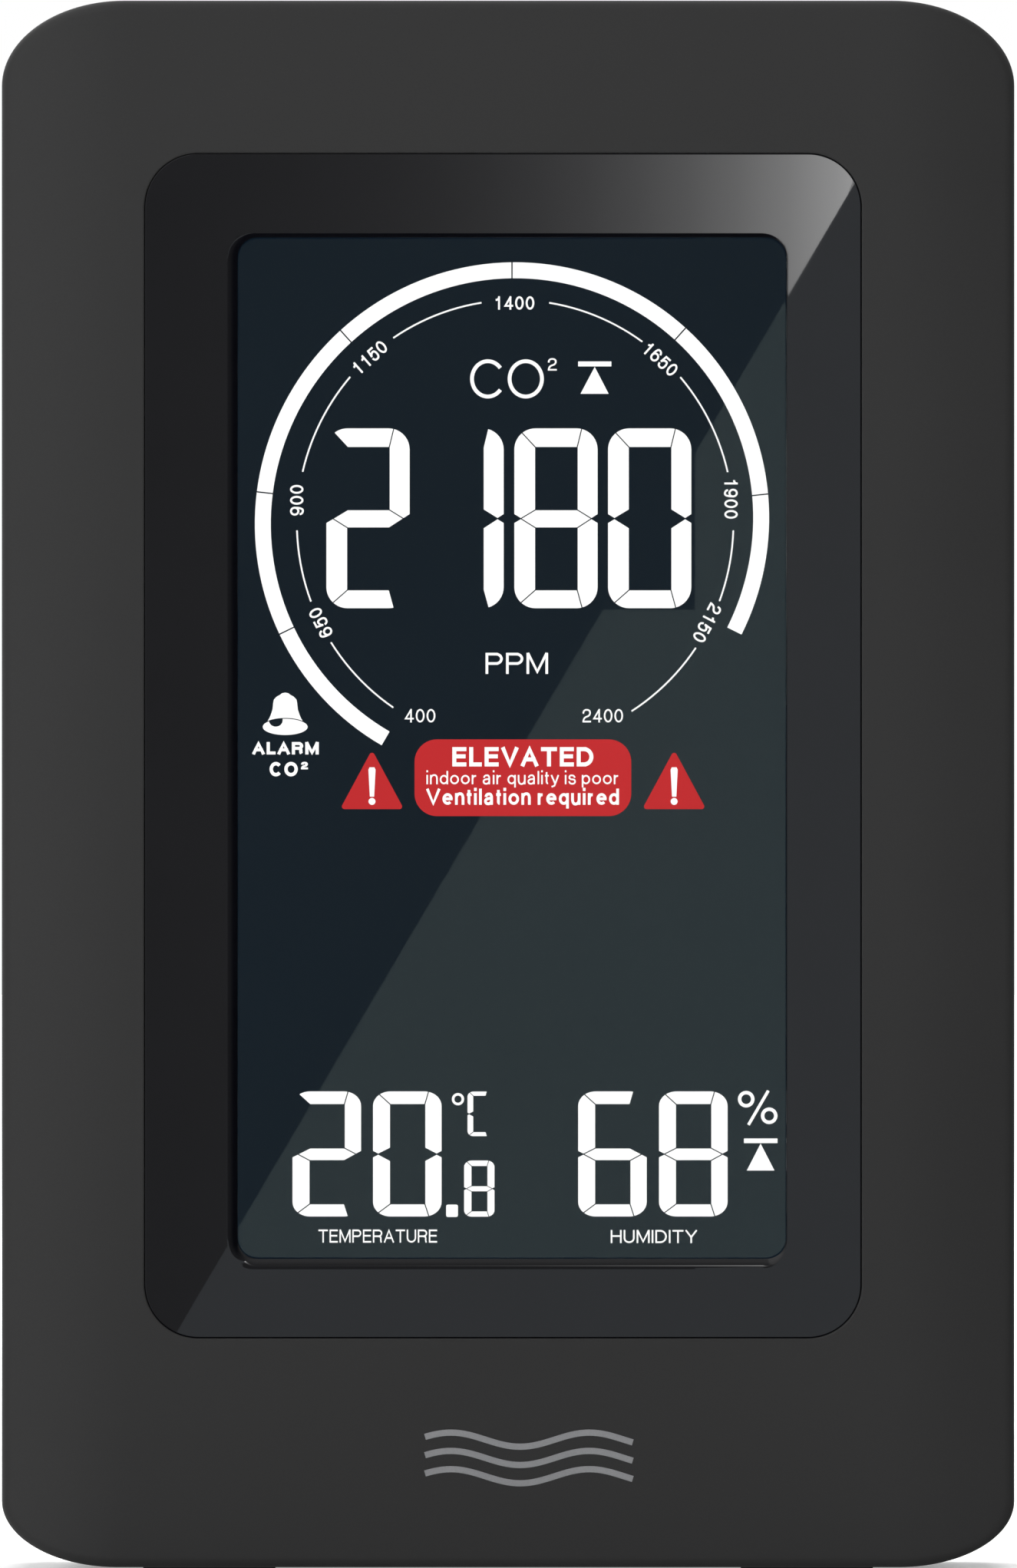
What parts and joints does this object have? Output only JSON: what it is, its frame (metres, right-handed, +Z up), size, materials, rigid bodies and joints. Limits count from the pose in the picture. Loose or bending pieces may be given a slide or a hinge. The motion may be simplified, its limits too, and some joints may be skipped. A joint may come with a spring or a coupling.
{
  "type": "carbon dioxide monitor",
  "caption": "Upright desk or wall air monitor with a recessed glossy display panel, rear vents, push keys, wall keyhole and a fold-out rear stand.",
  "frame": {"origin": "middle of the footprint, on the surface that the monitor stands on", "axes": "+Z up, the display faces -Y, +X is on the viewer's right"},
  "size_m": [0.122, 0.028, 0.189],
  "materials": {
    "satin_plastic": "satin moulded, very fine grain",
    "gloss_black": "polished piano black",
    "clear_acrylic": "clear, polished",
    "black_foam": "closed-cell foam",
    "polarizer_film": "dark blue-grey film",
    "lcd_glass": "thin display glass",
    "white_film": "white film",
    "white_plastic": "white moulded",
    "green_board": "solder mask on glass fibre",
    "black_epoxy": "moulded epoxy",
    "steel": "zinc plated",
    "dark_rubber": "matt rubber",
    "zebra_rubber": "striped conductive rubber",
    "gold_plate": "gold flashed",
    "screen_mesh": "fine woven screen",
    "label_film": "plain foil label, blank",
    "segment_white": "lit white display segments",
    "segment_red": "lit red display fields",
    "print_grey": "pad-printed pictograms"
  },
  "bodies": {
    "case": {"front_frame": "satin_plastic", "display_surround": "gloss_black", "display_lens": "clear_acrylic", "lens_gasket": "black_foam", "front_polarizer": "polarizer_film", "lcd_glass_front": "lcd_glass", "lcd_glass_rear": "lcd_glass", "rear_polarizer": "polarizer_film", "diffuser_sheet": "white_film", "light_guide": "clear_acrylic", "reflector_sheet": "white_film", "backlight_led_strip": "white_plastic", "display_carrier": "white_plastic", "zebra_connector": "zebra_rubber", "main_board": "green_board", "microcontroller": "black_epoxy", "lcd_driver": "black_epoxy", "crystal_can": "steel", "buzzer": "black_epoxy", "filter_capacitor": "steel", "power_inductor": "black_epoxy", "dc_jack": "black_epoxy", "dc_jack_pin": "steel", "sensor_header": "black_epoxy", "co2_sensor_board": "green_board", "co2_sensor_chamber": "gold_plate", "co2_sensor_membrane": "white_film", "sensor_seal": "black_foam", "humidity_sensor_board": "green_board", "humidity_sensor": "black_epoxy", "vent_screen": "screen_mesh", "rear_cover": "satin_plastic", "stand_pin": "steel", "rating_plate": "label_film", "tact_switch_mode": "black_epoxy", "tact_switch_up": "black_epoxy", "tact_switch_down": "black_epoxy", "tact_switch_alarm": "black_epoxy", "base_pad_front_left": "dark_rubber", "base_pad_front_right": "dark_rubber", "base_pad_rear_left": "dark_rubber", "base_pad_rear_right": "dark_rubber", "case_screw_1": "steel", "board_screw_1": "steel", "case_screw_2": "steel", "board_screw_2": "steel", "case_screw_3": "steel", "board_screw_3": "steel", "case_screw_4": "steel", "board_screw_4": "steel"},
    "stand": {"stand": "satin_plastic", "stand_pad": "dark_rubber"},
    "key_mode": {"button_mode": "dark_rubber", "switch_plunger_mode": "white_plastic"},
    "key_up": {"button_up": "dark_rubber", "switch_plunger_up": "white_plastic"},
    "key_down": {"button_down": "dark_rubber", "switch_plunger_down": "white_plastic"},
    "key_alarm": {"button_alarm": "dark_rubber", "switch_plunger_alarm": "white_plastic"}
  },
  "joints": [
    {"name": "stand_hinge", "type": "hinge", "parent": "case", "child": "stand", "pos_m": [0, 0.0112, 0.072], "axis": [1, 0, 0], "range_deg": [0, 35]},
    {"name": "press_mode", "type": "slide", "parent": "case", "child": "key_mode", "axis": [0, -1, 0], "range_m": [0, 0.0005], "stiffness_N_per_m": 400},
    {"name": "press_up", "type": "slide", "parent": "case", "child": "key_up", "axis": [0, -1, 0], "range_m": [0, 0.0005], "stiffness_N_per_m": 400},
    {"name": "press_down", "type": "slide", "parent": "case", "child": "key_down", "axis": [0, -1, 0], "range_m": [0, 0.0005], "stiffness_N_per_m": 400},
    {"name": "press_alarm", "type": "slide", "parent": "case", "child": "key_alarm", "axis": [0, -1, 0], "range_m": [0, 0.0005], "stiffness_N_per_m": 400}
  ]
}
